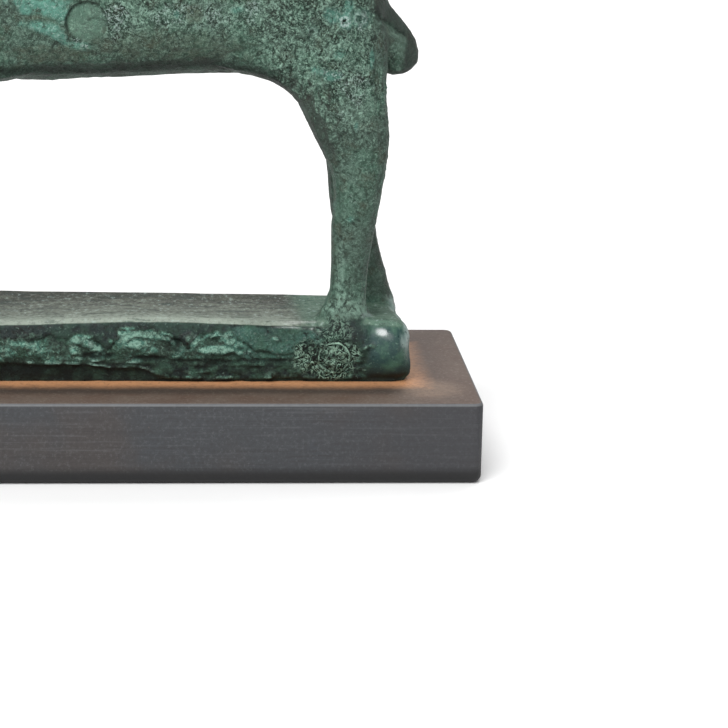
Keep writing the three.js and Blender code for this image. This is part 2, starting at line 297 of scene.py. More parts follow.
# Its corroded lumps and its hollows, listed as the growths are
GREENS = (
    (-49.5, 23.4, 2.4, 1.7, 10, 0.6),
    (-42.0, 24.3, 3.0, 1.2, -15, 0.9),
    (-40.6, 22.2, 1.7, 1.2, 0, 0.6),
    (-33.2, 23.9, 3.2, 1.5, 12, 0.8),
    (-27.0, 22.9, 2.2, 1.5, 0, 0.4),
    (-20.4, 25.0, 1.6, 0.8, 0, 0.4),
    (-18.2, 23.4, 3.6, 1.8, -25, 0.42),
    (-9.2, 24.8, 1.9, 1.0, 10, 1.0),
    (-7.2, 23.8, 1.9, 1.1, -30, 0.85),
    (-10.2, 22.2, 1.0, 1.6, 0, 0.7),
    (-0.2, 25.5, 2.2, 1.2, 35, 1.0),
    (3.0, 26.0, 3.0, 0.8, 0, 0.95),
    (7.4, 25.5, 1.6, 0.9, -25, 1.0),
    (1.2, 23.5, 3.2, 1.7, 0, 0.6),
    (5.0, 22.3, 1.8, 1.0, 0, 0.5),
    (12.2, 24.8, 1.6, 1.5, 40, 0.6),
    (18.0, 22.8, 3.4, 0.8, 0, 1.0),
    (19.8, 24.9, 1.0, 1.5, 25, 0.9),
    (16.8, 26.0, 1.7, 0.8, 0, 0.6),
    (21.8, 23.2, 1.1, 1.6, 0, 0.8),
    (26.8, 22.9, 0.9, 0.6, 0, 0.7),
    (28.8, 25.2, 1.0, 0.5, 0, 0.6),
    (27.5, 24.2, 6.5, 2.8, 0, 0.22),
    (47.2, 23.6, 1.5, 0.5, 25, 0.7),
)
HOLLOWS = (
    (-45.0, 21.3, 3.6, 0.5, 0, 0.8),
    (-30.0, 21.5, 4.2, 0.5, 0, 0.8),
    (-5.0, 21.8, 3.2, 0.6, 0, 0.9),
    (4.4, 21.1, 3.0, 0.5, 0, 0.8),
    (8.9, 23.4, 2.4, 1.4, 20, 0.5),
    (12.0, 20.6, 3.4, 0.4, 0, 0.8),
    (17.8, 20.4, 3.4, 0.55, 0, 1.0),
    (27.0, 20.6, 7.0, 0.35, 0, 0.6),
    (46.6, 21.4, 0.7, 2.6, -20, 0.6),
)


def crusted_skin(skin, settings):
    """The crumbed corrosion of the figure: thick on the haunch and flank, thin down the shanks."""
    haunch = skin.area((40, 83), (13, 13), 0, 0.4, 0.3)
    flank = ramp(skin.z, 81, 88) * ramp(skin.x, -5, 1)
    beside_plug = skin.area((-2.4, 87.0), (2.8, 4.4))
    leg_fade = ramp(skin.z, 40, 70)
    tail = tail_share(skin)
    # Painted shade: the crust thins on the thigh's front edge and on sides turning towards +x, so those edges
    # come out smoother and darker.
    front_edge = ramp(-skin.normals[:, 0], 0.45, 0.8) * ramp(skin.z, 79, 74)
    rear_edge = ramp(skin.normals[:, 0] + 0.2 * skin.ragged, 0.25, 0.7) * ramp(skin.z, 72, 78)
    crust = 0.26 + 0.64 * haunch + 0.34 * flank + 0.6 * beside_plug
    crust = np.maximum(crust, 0.55 * ramp(skin.x, -22, -30) * (0.5 + 0.5 * skin.wobble))
    crust = np.clip(crust, 0, 1) * (0.45 + 0.55 * leg_fade) * skin.figure
    head = ramp(skin.z, BROW[1] - 14, BROW[1] - 6) * ramp(skin.x, BROW[0] + 4, BROW[0] - 2)
    crust = crust * (1 - 0.5 * tail) * (1 - 0.7 * front_edge) * (1 - 0.75 * rear_edge) * (1 - 0.8 * head)
    crumb = (1 - ramp(skin.near_grain, 0.1, 0.65)) * (0.1 + skin.grain_height)
    worms = ramp(skin.lace, 0.0, 0.7)
    rise = settings.crust / MM * crust * (0.9 * crumb + 0.9 * worms - 0.6)
    rise += 0.13 * skin.wobble * (0.35 + 0.65 * skin.figure)
    rise += 0.06 * skin.lumps + 0.03 * skin.fine
    return rise, crust


def tail_share(skin):
    """1 on the flap of the tail."""
    return ramp(np.abs(skin.y), 8.6, 7.4) * ramp(skin.x, 46.5, 48.5) * ramp(skin.z, 72, 75)


def tail_back(skin):
    """1 on the back of the tail, past the crease that runs down from the rump; it is darkened there as
    painted shade.
    """
    line = level(-skin.z, TAIL_CREASE) + 0.6 * skin.ragged
    return ramp(skin.x, line - 0.5, line + 0.8) * ramp(skin.z, 73, 76)


def tail_crease(skin):
    """The upper part of the crease itself."""
    off = skin.z - 0.3 * skin.fine - level(skin.x, TAIL_LINE)
    share = ramp(skin.x, 46.5, 48.5) * ramp(skin.x, 54.6, 53.6) * ramp(np.abs(skin.y), 1.5, 3)
    return peak(off, 0.35) * share


def plugged_hole(skin, settings):
    """The round plug on the near flank: sunk at its upper left, flush at its lower right; the third value is
    painted shade in its moat and hairline arc.
    """
    face = skin.near * ramp(skin.z, 76, 78)
    r = np.hypot(skin.x - PLUG[0], skin.z - PLUG[1]) / PLUG_RADIUS
    angle = np.arctan2(skin.z - PLUG[1], skin.x - PLUG[0])
    upper_left = 0.5 + 0.5 * np.cos(angle - math.radians(120))
    inside = ramp(r, 1.03, 0.92) * face
    lip = peak(r - 1.1, 0.08) * face * upper_left
    # Painted shade: the moat darkens most at the upper left, where the sunk edge would shadow it.
    moat = peak(r - 0.95, 0.06) * face * (0.2 + 0.8 * upper_left)
    arc = peak(np.hypot(skin.x - PLUG_ARC[0], skin.z - PLUG_ARC[1]) - PLUG_ARC_RADIUS, 0.22)
    arc = arc * ramp(skin.z, 86.6, 87.4) * inside * 0.7
    rise = settings.plug / MM * (0.35 * lip - 0.45 * moat - 0.25 * arc + 0.8 * inside * (1 - upper_left))
    return rise, inside, np.clip(moat + arc, 0, 1)


def pustules(skin):
    """The height of the ringed pustules on the haunch, each round a pit."""
    rise = np.zeros(len(skin.x))
    for at, radius, width, _ in RINGS:
        reach = np.hypot(skin.x - at[0], skin.z - at[1])
        ring = peak(reach - radius, width)
        rise += (0.22 * ring - 0.3 * ramp(reach, radius * 0.8, radius * 0.3)) * skin.near
    return rise


def face_lines(skin):
    """Mouth, nostrils and the rims of the eyes on the plain head."""
    x, z, aside = skin.x - BROW[0], skin.z - BROW[1], np.abs(skin.y)
    mouth = peak(z + 13.4 + 0.53 * (x + 21), 0.42) * ramp(x, -10.5, -12.5) * ramp(x, -26, -22)
    nostril = peak(np.hypot(x + 21.0, z + 9.4), 0.75) * ramp(aside, 0.6, 1.4)
    rim = peak(within(x, z, EYE) - 1.0, 0.22) * ramp(aside, 2.5, 4)
    return np.clip(mouth + nostril + 0.8 * rim, 0, 1)


def slab_face(skin, settings):
    """The slab's near face: smooth rim, corroded lumps, torn lips, undercut, blister and end lobe, with
    painted shade in recesses and painted light on upward faces.
    """
    x, height = skin.x, skin.z - SLAB_FOOT
    face = ramp(skin.y, *NEAR_FACE) * (1 - skin.figure)
    # Painted light: the corroded lumps are paler where they face upwards.
    upward_light = np.clip(0.75 + 1.3 * skin.normals[:, 2], 0.25, 1.5)
    # Painted shade: faces turned downwards are darkened.
    downward_shade = np.clip(-1.3 * skin.normals[:, 2] - 0.12, 0, 0.7)
    torn = skin.torn
    edge = level(x + 1.4 * skin.lumps, RIM_EDGE) + 0.8 * torn
    lip_level = level(x, LIP_LEVEL) + 0.5 * smooth_noise(skin.points * (1, 0, 0), 6, 83, 2)
    rim = ramp(height, edge - 0.5, edge + 0.5)
    crevice = peak(height - edge + 0.35, 0.42) * level(x, CREVICE)
    under = ramp(height, lip_level - 0.1, lip_level - 1.0)
    lip = peak(height - lip_level, 0.2) * ramp(x, 7, 3) * ramp(torn, -0.35, 0.05)
    second = peak(height - lip_level - 0.95, 0.18) * ramp(x, -14, -11) * ramp(x, 5, 2)
    lip += 0.7 * second * ramp(skin.lumps, -0.2, 0.2)
    drawn = smooth_noise(skin.points * (0.3, 1, 1), 0.9, 127, 2) * ramp(height, 4.2, 3.4) * ramp(x, 4, 10)
    foot_line = peak(height - 0.95, 0.22) * ramp(x, 4, 9) * ramp(torn, -0.25, 0.15)
    bulge = skin.areas(GREENS, 0.7, 1.0)
    sunk = skin.areas(HOLLOWS, 0.5, 0.5)
    worms = ramp(skin.lace, 0.0, 0.8)
    crumbed = within(x, height, CRUMBS) + 0.5 * skin.ragged
    scaly = within(x, height, SCALES) + 0.5 * skin.ragged
    crumbed = np.maximum(ramp(crumbed, 1.1, 0.8), 0.45 * ramp(scaly, 1.1, 0.7))
    end = ramp(x, 46, 48) * (1 - crumbed)
    calm = (1 - crumbed) * (1 - end)
    lobe = np.clip(1 - within(x, height, END_LOBE) ** 2, 0, 1)
    blister = np.hypot(x - BLISTER[0], skin.z - BLISTER[1]) / BLISTER_RADIUS
    ring = peak(blister - 1.0, 0.07) * ramp(skin.ragged, -0.6, -0.1)
    groove = peak(blister - 0.86, 0.06) + peak(blister - 1.14, 0.06)
    crumb = (1 - ramp(skin.near_grain, 0.1, 0.6)) * (0.4 + 0.9 * skin.grain_height)
    push = calm * (settings.face / MM) * (
        0.3 * rim - 0.35 * crevice - 0.15 * (1 - rim) * (1 - under) - 0.9 * under - 0.35 * sunk
        + bulge * (0.6 + 0.6 * skin.fine + 1.2 * skin.ragged + 0.4 * worms)
        + 0.45 * skin.lumps * (1 - rim) + 0.12 * skin.wobble + 0.55 * lip + 0.75 * foot_line + 0.5 * drawn
    )
    push += crumbed * (0.5 * crumb + 0.4 * worms + 0.1 * skin.fine - 0.35)
    push += crumbed * (0.4 * ring - 0.35 * groove + 0.2 * ramp(blister, 1.0, 0.8))
    push += end * (0.9 * lobe - 0.5 * sunk - 0.6 * ramp(height, 1.8, 0.6) + 0.08 * skin.wobble + 0.1 * bulge)
    rim_line = (1 - crumbed) * rim * ramp(skin.normals[:, 2], 0.2, 0.5) * ramp(x, 27, 33) * ramp(x, 39, 36)
    dull = 0.8 * ramp(x, 18, 24) * ramp(x, 40, 35)
    veil = dull * calm * ramp(height, 3.5, 5.5) * ramp(skin.normals[:, 2], 0.45, 0.15)
    between = (1 - rim) * (1 - under)
    # Painted shade: the crevice under the rim, the undercut, the sunk hollows, the gaps between lumps, faces
    # turned downwards and the foot of the end lobe darken towards the recess patina.
    hollow = calm * (0.6 * crevice + under * (1 - foot_line) * (0.85 + 0.5 * torn))
    hollow += 0.8 * sunk * (1 - crumbed)
    hollow += calm * between * ramp(skin.ragged + bulge, 0.2, -0.2) * 0.3 + 0.5 * groove * crumbed
    hollow += end * ramp(height, 4.2, 1.2) + calm * between * downward_shade
    bloom = calm * (between * (0.3 + 0.3 * skin.lumps) * ramp(height, 3.0, 4.4) + 0.8 * lip + 0.7 * foot_line)
    bloom += calm * between * np.clip(0.1 + 0.6 * drawn, 0, 1)
    bloom += (1 - crumbed) * bulge * (1 - under) * upward_light
    return {
        "push": face * push,
        "hollow": face * np.clip(hollow, 0, 1),
        "bloom": face * np.clip(bloom, 0, 1),
        "glaze": face * np.maximum(0.7 * calm * rim * (1 - dull), end),
        "wet": face * np.maximum(skin.area(*GLINT), 0.5 * rim_line),
        "crumbed": face * crumbed,
        "ring": 0.4 * face * calm * lip,
        "veil": face * veil * np.clip(0.5 + 0.6 * skin.wobble, 0.15, 0.6),
    }


def relief(p, n, settings):
    """Where each point moves to, in millimetres, and its patina fields."""
    skin = Skin(p, n)
    rise, crust = crusted_skin(skin, settings)
    plug_rise, plug, moat = plugged_hole(skin, settings)
    pustule_rise = pustules(skin)
    face = slab_face(skin, settings)
    crease = tail_crease(skin)
    lines = face_lines(skin)
    teal = skin.marks(TEAL)
    chalk = skin.marks(CHALK)

    # The slab's other sides are lumpy too, and its rear end has upright ribs.
    side = (1 - skin.figure) * ramp(np.abs(n[:, 2]), 0.75, 0.4) * ramp(p[:, 1], *NEAR_FACE[::-1])
    far_bloom = side * ramp(skin.torn + 0.4 * skin.wobble, 0.0, 0.7) * 0.6
    ribs = smooth_noise(p * (0.2, 1, 0.3), 1.5, 103, 2) * ramp(n[:, 0], 0.3, 0.7)
    # Painted sheen: pale chalk along the upper rear end of the slab, on faces turned towards +x.
    rim_sheen = ramp(n[:, 0], 0.4, 0.8) * ramp(skin.z - SLAB_FOOT, 5.5, 8.5) * ramp(skin.torn, -0.6, 0.0)
    foot = skin.figure * ramp(skin.rise, 10, 4)
    cords = smooth_noise(p * (1, 1, 0.16), 1.3, 109, 2)

    rise = rise * (1 - 0.85 * plug) + plug_rise + pustule_rise * skin.figure
    rise += 0.3 * side * skin.ragged + 0.3 * ribs * (1 - skin.figure) + 0.16 * foot * cords
    rise += 0.1 * teal * (1 - plug) + 0.08 * chalk - 0.35 * crease - 0.45 * lines
    height = skin.z - SLAB_FOOT
    swell = 0.2 * peak(height - 3.2, 2.2) + 0.6 * peak(height - 1.3, 1.1)
    swell = swell * (1 - skin.figure) * ramp(skin.x, 49, 53)
    moved = p + n * rise[:, None] + np.stack((swell, -face["push"], 0 * swell), 1)
    fields = {
        "crust": crust * (1 - plug),
        "crumbed": face["crumbed"],
        "plug": plug,
        "ring": np.maximum(face["ring"], 0.8 * rim_sheen * (1 - skin.figure)),
        "wet": face["wet"],
        "teal": np.maximum(teal * (1 - plug), face["veil"]),
        "chalk": chalk,
        # Painted shade: the plug's moat, the slab's recesses, the tail's crease and the lines of the face are
        # darkened.
        "hollow": np.clip(moat + face["hollow"] + 0.9 * crease + 0.6 * lines, 0, 1),
        "bloom": np.maximum(face["bloom"], far_bloom),
        "glaze": np.maximum(face["glaze"], 0.6 * ramp(n[:, 0], 0.2, 0.6) * (1 - skin.figure)),
    }
    fields.update(stains_and_painted_light(skin))
    return moved, fields


def stains_and_painted_light(skin):
    """Stains with painted light and shade: the band of painted shade under the trunk, the far legs, the
    tail's back and the edges turned from the light, and the slab top's painted light.
    """
    x, y, z = skin.points.T
    facing = skin.normals
    tail, back = tail_share(skin), tail_back(skin)
    # Painted shade: a dark band where the flank turns under, on faces turning downwards.
    belly = peak(z - level(x, BELLY_BAND) - 0.5 * skin.lumps, 1.5) * ramp(x, 33, 27)
    belly = belly * ramp(-facing[:, 2], -0.15, 0.3) * ramp(-facing[:, 2], 0.98, 0.85)
    # Painted shade and dirt: the inner and far sides of the legs are darker and greyer.
    inner = ramp(y, -3, 3) * ramp(z, 72, 66) * skin.figure
    # Painted shade: the thigh's front edge and the sides turning towards +x are darkened and greyed.
    front_edge = ramp(-facing[:, 0], 0.3, 0.65) * ramp(z, 80, 75) * ramp(z, 58, 64) * ramp(x, 24, 30)
    rear_edge = ramp(facing[:, 0], 0.3, 0.8) * (0.4 + 0.6 * ramp(z, 72, 78)) * (1 - tail)
    rear_edge = rear_edge * ramp(z, 34, 40)
    shank = ramp(z, 70, 64) * ramp(z, 34, 40)
    # Painted reflection: faces turned downwards under the trunk are greyed as by light from the pale floor.
    underside = ramp(-facing[:, 2], 0.5, 0.75) * ramp(z, 60, 70)
    top = ramp(facing[:, 2], 0.62, 0.85) * ramp(np.abs(skin.rise), 1.6, 0.9)
    rear = ramp(x, 31, 36)
    # Mostly painted shade: the band under the trunk, the far legs, the tail's back and the edges turned from
    # the light, with some real grime.
    dirt_and_shade = 0.88 * belly + 0.2 * inner + 0.75 * back + 0.35 * rear_edge + 0.14 * shank + 0.35 * front_edge
    # Greying: partly real dust, partly painted shade on the front edge and far legs, and painted reflection
    # of the floor on faces turned downwards.
    dust_and_shading = 0.75 * front_edge + 0.6 * underside + 0.35 * inner + 0.3 * tail + 0.2 * back
    return {
        "dirt_and_shade": np.clip(dirt_and_shade, 0, 1),
        "dust_and_shading": np.clip(dust_and_shading, 0, 1),
        "earth": skin.marks(EARTH),
        "verdigris": skin.marks(VERDIGRIS),
        # Painted light and shade: the slab's top is lighter towards its near rim and darker towards the back,
        # under the body.
        "painted_front_light": top * (0.4 * ramp(y, 13, -6) + 0.6 * ramp(y + skin.wobble, -5, -13)) * (1 - rear),
        "slab_top": top,
        "rear": rear * (1 - skin.figure),
        "slab": 1 - ramp(skin.rise, 0.1, 0.8),
        "far_growth": ramp(skin.ragged + 0.5 * skin.wobble, 0.3, 0.6) * (1 - skin.near) * skin.figure,
    }


# Shader nodes


class Wire:
    """A shader socket that ordinary arithmetic can be done on."""

    def __init__(self, tree, socket):
        self.tree = tree
        self.socket = socket

    def _math(self, operation, *operands):
        node = self.tree.nodes.new("ShaderNodeMath")
        node.operation = operation
        for slot, operand in zip(node.inputs, operands):
            if isinstance(operand, Wire):
                self.tree.links.new(operand.socket, slot)
            else:
                slot.default_value = operand
        return Wire(self.tree, node.outputs[0])

    def __add__(self, other):
        return self._math("ADD", self, other)

    def __sub__(self, other):
        return self._math("SUBTRACT", self, other)

    def __rsub__(self, other):
        return self._math("SUBTRACT", other, self)

    def __mul__(self, other):
        return self._math("MULTIPLY", self, other)

    def __abs__(self):
        return self._math("ABSOLUTE", self)

    __radd__ = __add__
    __rmul__ = __mul__

    def root(self):
        return self._math("SQRT", self)

    def over(self, other):
        """The larger of the two."""
        return self._math("MAXIMUM", self, other)


class Finish:
    """A material of one piece, built up from nodes around a Principled shader."""

    def __init__(self, name):
        self.material = bpy.data.materials.new(name)
        self.material.use_nodes = True
        self.tree = self.material.node_tree
        self.shader = self.tree.nodes["Principled BSDF"]
        self.place = self.node("ShaderNodeTexCoord")["Object"]

    def node(self, kind, settings=None, **sockets):
        """Adds a node, applies its settings, then fills its sockets; returns its outputs by name."""
        made = self.tree.nodes.new(kind)
        for key, value in (settings or {}).items():
            setattr(made, key, value)
        self.fill(made, **sockets)
        return {s.name: Wire(self.tree, s) for s in made.outputs if s.enabled}

    def fill(self, made, **sockets):
        """Links or sets sockets, which are named in lower case with _ for a space."""
        for key, value in sockets.items():
            slot = next(
                s for s in made.inputs
                if s.enabled and key in (s.identifier.lower(), s.name.lower().replace(" ", "_"))
            )
            if isinstance(value, Wire):
                self.tree.links.new(value.socket, slot)
            elif slot.type == "RGBA":
                slot.default_value = (*value, 1.0)
            else:
                slot.default_value = value

    def field(self, name):
        """A number that the mesh carries at each of its points."""
        return self.node("ShaderNodeAttribute", {"attribute_name": name})["Fac"]

    def noise(self, size, detail=3.0, roughness=0.5, stretch=None, distortion=0.0):
        """Noise from 0 to 1 with features about `size` millimetres wide."""
        place = self.place
        if stretch:
            place = self.node("ShaderNodeMapping", scale=stretch, vector=place)["Vector"]
        return self.node(
            "ShaderNodeTexNoise",
            vector=place,
            scale=1 / (size * MM),
            detail=detail,
            roughness=roughness,
            distortion=distortion,
        )["Fac"]

    def steps(self, value, low, high):
        """0 at `low` rising to 1 at `high`, held outside them. `low` may be the larger."""
        return self.node(
            "ShaderNodeMapRange",
            {"interpolation_type": "SMOOTHSTEP"},
            value=value,
            from_min=low,
            from_max=high,
        )["Result"]

    def spot(self, at, ragged):
        """The distance in millimetres from `at` on the near side view, made uneven by `ragged`."""
        place = self.node("ShaderNodeSeparateXYZ", vector=self.place)
        along, up = place["X"] * (1 / MM) - at[0], place["Z"] * (1 / MM) - at[1]
        return (along * along + up * up).root() + ragged + self.steps(place["Y"], -0.002, 0.0) * 99

    def blend(self, share, under, over):
        """`over` laid on `under` by `share`; both are colours."""
        return self.node(
            "ShaderNodeMix", {"data_type": "RGBA", "clamp_factor": True}, factor=share, a=under, b=over
        )["Result"]

    def bump(self, height, distance, strength):
        """Raises `height` by up to `distance` millimetres in the shading."""
        raised = self.node("ShaderNodeBump", height=height, distance=distance * MM, strength=strength)
        self.fill(self.shader, normal=raised["Normal"])


def linear(r, g, b):
    """A display colour from 0 to 255 as the renderer's linear values."""
    return tuple(((c / 255 + 0.055) / 1.055) ** 2.4 if c > 10 else c / 255 / 12.92 for c in (r, g, b))


def bronze_finish(tone):
    """Green-grey patina with pale crumbs, teal and chalky growths, recesses darkened as painted shade and a
    slab top given painted light.
    """
    f = Finish("corroded_bronze")
    crust, crumbed = f.field("crust"), f.field("crumbed")
    slab, top, painted_front_light = f.field("slab"), f.field("slab_top"), f.field("painted_front_light")
    hollow, bloom, glaze = f.field("hollow"), f.field("bloom"), f.field("glaze")
    broad = f.noise(10, 4)
    middle = f.noise(3.4, 5, 0.6)
    grain = f.noise(1.1, 5, 0.68, distortion=0.5)
    crumb = f.noise(0.55, 3, 0.6, distortion=0.9)
    speck = f.noise(0.42, 3, 0.6)
    worm = f.steps(abs(f.noise(1.25, 3, 0.5, distortion=1.3) - 0.5), 0.055, 0.015)
    curl = f.steps(abs(f.noise(1.4, 2, 0.55, distortion=1.6) - 0.5), 0.065, 0.02)
    pit = f.steps(abs(f.noise(0.95, 3, 0.55, distortion=0.8) - 0.5), 0.06, 0.015) * f.steps(middle, 0.4, 0.55)

    # Pale crumbs stand between dark gaps, the more so where the crust is thick.
    rough = 0.4 + 0.6 * crust
    lump = f.noise(1.9, 3, 0.55, distortion=0.6)
    skin = f.blend(f.steps(broad, 0.38, 0.62), tone.body, tone.green)
    skin = f.blend(f.steps(middle, 0.5, 0.7) * 0.6, skin, tone.brown)
    skin = f.blend(f.steps(grain, 0.52, 0.36) * (0.4 + 0.3 * crust), skin, tone.deep)
    skin = f.blend(f.steps(middle, 0.48, 0.32) * 0.25, skin, tone.plug_tone)
    skin = f.blend(f.steps(crumb, 0.5, 0.64) * (0.12 + 0.72 * crust), skin, tone.pale)
    skin = f.blend(f.steps(lump, 0.5, 0.66) * f.steps(crumb, 0.42, 0.56) * crust * 0.5, skin, tone.pale)
    skin = f.blend(f.steps(lump, 0.47, 0.36) * crust * 0.25, skin, tone.deep)
    skin = f.blend(worm * f.steps(grain, 0.42, 0.55) * (0.15 + 0.75 * crust), skin, tone.pale)
    skin = f.blend(pit * (0.1 + 0.75 * crust), skin, tone.deep)
    skin = f.blend(f.steps(speck, 0.58, 0.66) * crust * 0.85, skin, tone.lichen)
    skin = f.blend(f.field("verdigris") * f.steps(grain, 0.38, 0.62) * 0.6, skin, tone.pale)

    end = f.steps(f.node("ShaderNodeSeparateXYZ", vector=f.place)["X"], 0.045, 0.049)
    glossy = f.blend(end, tone.glazed, tone.lobe)
    face = f.blend(f.steps(grain + 0.15 * end, 0.34, 0.56), tone.deep, glossy)
    face = f.blend(f.steps(middle, 0.42, 0.64) * (0.85 - 0.75 * glaze * (1 - end)), face, tone.green)
    face = f.blend(f.steps(crumb, 0.58, 0.75) * 0.35, face, tone.pale)
    skin = f.blend(slab * (1 - top), skin, face)
    green = f.blend(f.steps(middle, 0.42, 0.62), tone.body, tone.green)
    green = f.blend(f.steps(bloom + 1.4 * (grain - 0.5), 0.35, 0.85) * 0.75, green, tone.teal)
    green = f.blend(f.steps(bloom + 2.4 * (crumb - 0.5), 0.5, 1.1) * 0.65, green, tone.pale)
    green = f.blend(f.steps(crumb, 0.5, 0.38) * 0.36, green, tone.deep)
    green = f.blend(pit * 0.5, green, tone.deep)
    skin = f.blend(f.steps(bloom + 1.4 * (grain - 0.5), 0.08, 0.45), skin, green)
    crumbs = f.blend(f.steps(crumb, 0.5, 0.64) * 0.8, tone.deep, tone.green)
    crumbs = f.blend(curl * f.steps(middle, 0.34, 0.5) * 0.85, crumbs, tone.lichen)
    around = f.spot(BLISTER, 0.9 * (grain - 0.5))
    aside = f.spot((BLISTER[0] + 1.6, BLISTER[1] + 2.2), 0)
    arc = f.steps(aside, 3.6, 1.8)
    groove = f.steps(abs(around - BLISTER_RADIUS - 0.26), 0.26, 0.12) * (0.3 + 0.6 * arc)
    ring = f.steps(abs(around - BLISTER_RADIUS), 0.18, 0.08) * (0.25 + 0.75 * arc)
    crumbs = f.blend(ring, f.blend(groove, crumbs, tone.deep), tone.lichen)
    skin = f.blend(crumbed, skin, crumbs)

    plug = f.blend(f.steps(middle, 0.35, 0.65), tone.green, tone.plug_tone)
    plug = f.blend(f.steps(grain, 0.52, 0.36) * 0.75, plug, tone.body)
    plug = f.blend(f.steps(lump, 0.46, 0.34) * 0.7, plug, tone.body)
    plug = f.blend(f.steps(crumb, 0.52, 0.7) * 0.5, plug, tone.pale)
    skin = f.blend(f.field("plug") * 0.9, skin, f.blend(0.12, plug, tone.pale))

    # The slab's top is seen along its face, so its marks are drawn out away from the eye.
    streak = f.noise(1.8, 5, 0.72, stretch=(0.28, 0.8, 1), distortion=0.6)
    scuff = f.noise(0.6, 3, 0.65, stretch=(0.7, 0.4, 1))
    back = f.blend(f.steps(streak, 0.35, 0.65), tone.dust_and_shading, tone.brown)
    mossy = f.blend(f.steps(streak, 0.3, 0.56), tone.green, tone.plug_tone)
    # Painted shade darkens the back of the slab's top; painted light lifts it to sage towards the near rim.
    back = f.blend(f.field("rear") * 0.9, f.blend(0.32, back, tone.deep), mossy)
    flat = f.blend(1.15 * painted_front_light + 1.7 * (streak - 0.5) + 0.9 * (scuff - 0.5), back, tone.lit_sage)
    flat = f.blend(f.steps(scuff, 0.48, 0.34) * 0.35, flat, tone.glazed)
    flat = f.blend(f.steps(streak, 0.47, 0.35) * 0.6, flat, tone.body)
    flat = f.blend(f.steps(scuff, 0.56, 0.7) * 0.4, flat, tone.chalk)
    skin = f.blend(top, skin, flat)

    growth = (f.field("teal") + 0.45 * f.field("far_growth")) * f.steps(grain, 0.32, 0.52)
    bright = f.blend(f.steps(crumb, 0.5, 0.7) * 0.6, tone.teal, tone.chalk)
    bright = f.blend(f.steps(middle, 0.5, 0.66) * 0.5, bright, tone.green)
    skin = f.blend(growth * 0.85, skin, bright)
    chalk = f.field("chalk") * f.steps(crumb + 0.5 * (speck - 0.5), 0.5, 0.6) * f.steps(middle, 0.36, 0.5)
    skin = f.blend(f.field("chalk") * f.steps(crumb, 0.5, 0.4) * 0.35, skin, tone.deep)
    for at, radius, width, pale in RINGS:
        off = f.spot(at, 2.2 * (grain - 0.5) + 1.2 * (crumb - 0.5))
        skin = f.blend(f.steps(off, radius * 2.4, radius * 1.2) * pale * 0.6, skin, tone.teal)
        rim = f.steps(abs(off - radius), width, width * 0.4) * f.steps(speck, 0.38, 0.5)
        skin = f.blend(rim * pale, skin, tone.chalk)
        skin = f.blend(f.steps(off, radius * 0.7, radius * 0.35) * pale, skin, tone.deep)
    # The ring field holds the pale torn lips and the painted sheen on the slab's rear end.
    chalk = chalk + f.field("ring") * f.steps(grain, 0.35, 0.5) * 0.6
    skin = f.blend(chalk, skin, tone.chalk)
    skin = f.blend(f.field("earth") * f.steps(grain, 0.35, 0.55) * 0.7, skin, tone.brown)
    # Greying that is partly real dust, partly painted shade on edges and far legs and painted floor
    # reflection underneath.
    skin = f.blend(f.field("dust_and_shading") * 0.7, skin, tone.dust_and_shading)
    # Painted shade, with some real grime: the band under the trunk, the far legs, the tail's back and the
    # edges turned from the light.
    skin = f.blend(f.field("dirt_and_shade") * (0.7 + 0.3 * grain), skin, tone.deep)
    # Painted shade in recesses, crevices and creases, laid on as the recess patina.
    skin = f.blend(hollow * 0.9, skin, tone.deep)

    gloss = glaze * (1 - bloom)
    shine = 0.58 + 0.3 * (grain - 0.5) - 0.26 * gloss + 0.3 * hollow
    f.fill(f.shader, base_color=skin, roughness=shine, metallic=0.05, specular_ior_level=0.3)
    f.fill(f.shader, coat_weight=f.field("wet"), coat_roughness=0.15, coat_ior=2.0)
    height = grain * 0.6 + crumb * 0.9 * rough + worm * 0.25 * rough - pit * 0.3 * rough + speck * 0.2
    f.bump(height * (1 - 0.85 * gloss), 0.85, 1.0)
    return f.material


